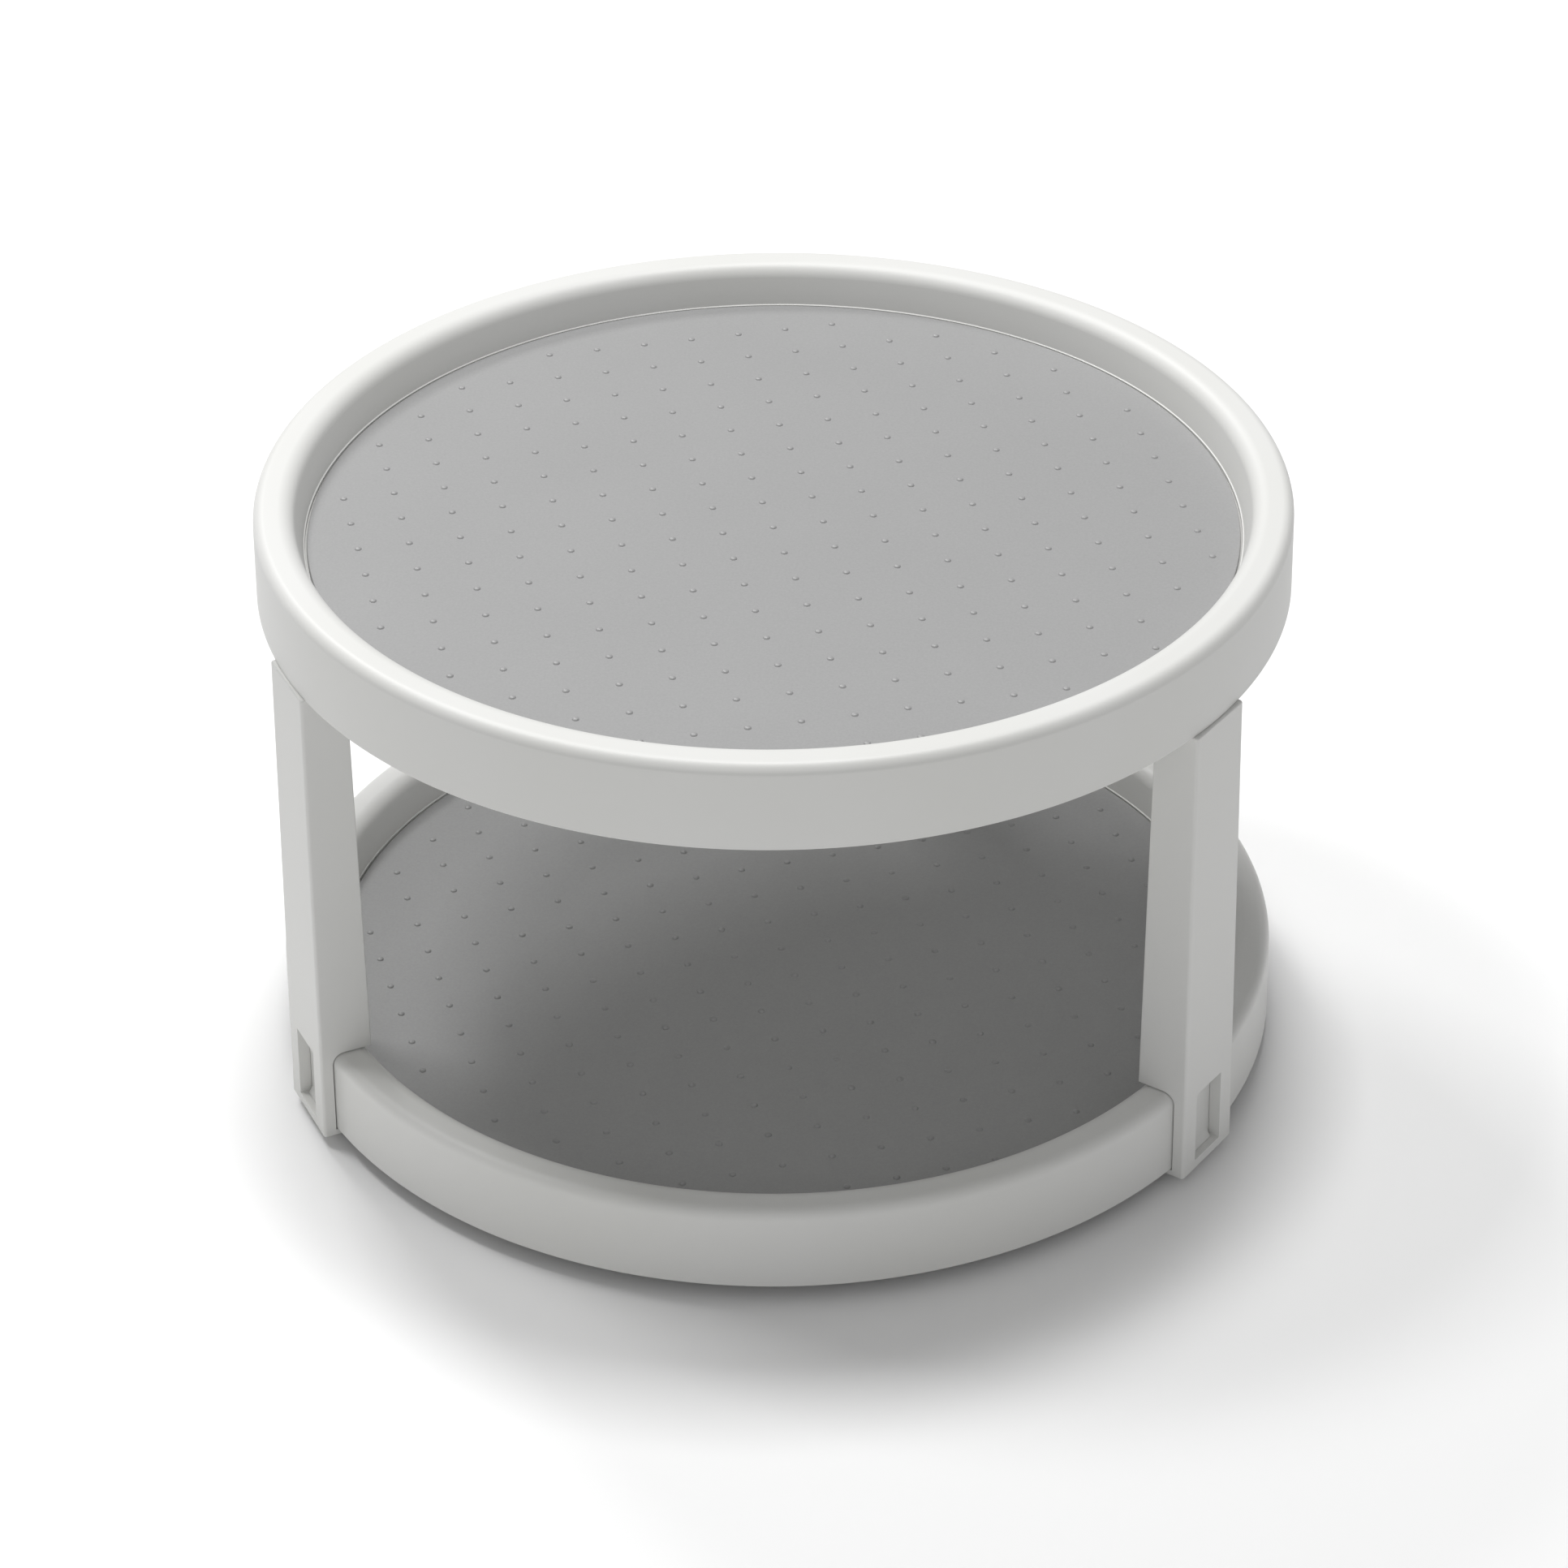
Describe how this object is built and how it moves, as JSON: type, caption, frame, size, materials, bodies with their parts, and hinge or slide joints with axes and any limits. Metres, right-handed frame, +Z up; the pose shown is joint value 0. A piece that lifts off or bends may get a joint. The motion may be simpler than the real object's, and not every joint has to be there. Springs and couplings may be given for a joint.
{
  "type": "lazy susan turntable",
  "caption": "Tiered round lazy susan: rimmed white trays with grey dotted grip mats, joined by clip-on posts, turning on a ball ring over a low footed base.",
  "frame": {"origin": "on the turning axis, in the plane of the feet's undersides", "axes": "+Z up along the turning axis; one post stands at +Y, at the back, and two stand 60 degrees each side of -Y, the front; +X is to the right"},
  "size_m": [0.254, 0.257, 0.1524],
  "materials": {
    "white_plastic": "satin moulded",
    "mat_rubber": "matte soft-touch with raised dots",
    "natural_plastic": "matte moulded",
    "foot_rubber": "matte",
    "ball_steel": "polished",
    "zinc_steel": "zinc plated"
  },
  "bodies": {
    "base": {"base_plate": "white_plastic", "pivot_bush": "natural_plastic", "foot_1": "foot_rubber", "foot_2": "foot_rubber", "foot_3": "foot_rubber", "foot_4": "foot_rubber", "foot_5": "foot_rubber", "foot_6": "foot_rubber"},
    "turntable": {"lower_tray": "white_plastic", "lower_mat": "mat_rubber", "upper_tray": "white_plastic", "upper_mat": "mat_rubber", "post_left": "white_plastic", "post_right": "white_plastic", "post_back": "white_plastic", "pivot_washer": "zinc_steel", "pivot_screw": "zinc_steel"},
    "cage": {"ball_cage": "natural_plastic", "ball_1": "ball_steel", "ball_2": "ball_steel", "ball_3": "ball_steel", "ball_4": "ball_steel", "ball_5": "ball_steel", "ball_6": "ball_steel", "ball_7": "ball_steel", "ball_8": "ball_steel", "ball_9": "ball_steel", "ball_10": "ball_steel", "ball_11": "ball_steel", "ball_12": "ball_steel"}
  },
  "joints": [
    {"name": "tray_spin", "type": "hinge", "parent": "base", "child": "turntable", "pos_m": [0, 0, 0.008], "axis": [0, 0, 1], "continuous": true},
    {"name": "cage_spin", "type": "hinge", "parent": "base", "child": "cage", "pos_m": [0, 0, 0.008], "axis": [0, 0, 1], "continuous": true}
  ],
  "couplings": [
    {"joint": "cage_spin", "follows": "tray_spin", "ratio": 0.5}
  ]
}
